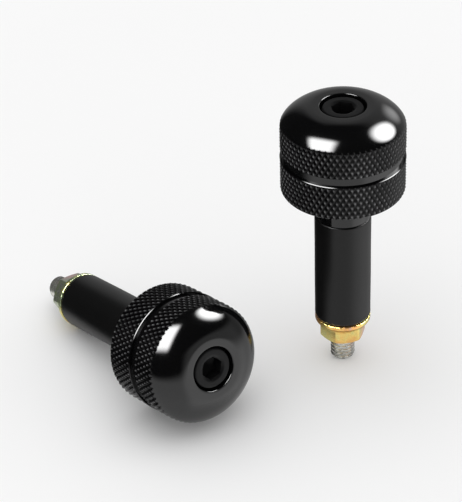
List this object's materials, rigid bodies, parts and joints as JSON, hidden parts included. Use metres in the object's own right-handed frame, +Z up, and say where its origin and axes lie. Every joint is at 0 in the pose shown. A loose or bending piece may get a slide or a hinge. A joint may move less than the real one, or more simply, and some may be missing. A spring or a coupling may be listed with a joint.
{
  "type": "bar end grips",
  "caption": "Domed, knurled handlebar end weights on rubber expander plugs, each drawn tight by a socket head cap screw and a flange nut.",
  "frame": {"origin": "middle of the bottom of the pair's box, on the surface that both units stand on", "axes": "+Z up; +X along the pair's longest extent, from the lying left unit towards the standing right unit; -Y is the front, where the lying unit's dome faces"},
  "size_m": [0.09, 0.063, 0.0714],
  "materials": {
    "gloss_black": "gloss black anodised, turned and diamond knurled",
    "black_screw": "black oxide head on a bright zinc threaded shank",
    "rubber": "matte moulded rubber",
    "yellow_zinc": "iridescent yellow zinc plate"
  },
  "bodies": {
    "right_plug": {"right_collar": "gloss_black", "right_rubber_sleeve": "rubber"},
    "right_cap": {"right_end_cap": "gloss_black"},
    "right_screw": {"right_cap_screw": "black_screw"},
    "right_nut": {"right_flange_nut": "yellow_zinc"},
    "left_plug": {"left_collar": "gloss_black", "left_rubber_sleeve": "rubber"},
    "left_cap": {"left_end_cap": "gloss_black"},
    "left_screw": {"left_cap_screw": "black_screw"},
    "left_nut": {"left_flange_nut": "yellow_zinc"}
  },
  "joints": [
    {"name": "right_cap_turn", "type": "hinge", "parent": "right_plug", "child": "right_cap", "pos_m": [0.02998, 0.00745, 0.0487], "axis": [0, 0, 1], "continuous": true},
    {"name": "right_screw_turn", "type": "hinge", "parent": "right_plug", "child": "right_screw", "pos_m": [0.02998, 0.00745, 0.065], "axis": [0, 0, -1], "range_deg": [0, 1440]},
    {"name": "right_nut_draw", "type": "slide", "parent": "right_plug", "child": "right_nut", "axis": [0, 0, 1], "range_m": [0, 0.004], "deforming": ["right_rubber_sleeve"]},
    {"name": "left_cap_turn", "type": "hinge", "parent": "left_plug", "child": "left_cap", "pos_m": [-0.01382, -0.00765, 0.01441], "axis": [0.5981, -0.7739, 0.208], "continuous": true},
    {"name": "left_screw_turn", "type": "hinge", "parent": "left_plug", "child": "left_screw", "pos_m": [-0.00407, -0.02027, 0.0178], "axis": [-0.5981, 0.7739, -0.208], "range_deg": [0, 1440]},
    {"name": "left_nut_draw", "type": "slide", "parent": "left_plug", "child": "left_nut", "axis": [0.5981, -0.7739, 0.208], "range_m": [0, 0.004], "deforming": ["left_rubber_sleeve"]},
    {"name": "pair_spacing", "type": "slide", "parent": "right_plug", "child": "left_plug", "axis": [-1, 0, 0], "range_m": [0, 0.04]}
  ],
  "couplings": [
    {"joint": "right_nut_draw", "follows": "right_screw_turn", "m_per_rad": 0.00015915},
    {"joint": "left_nut_draw", "follows": "left_screw_turn", "m_per_rad": 0.00015915}
  ]
}
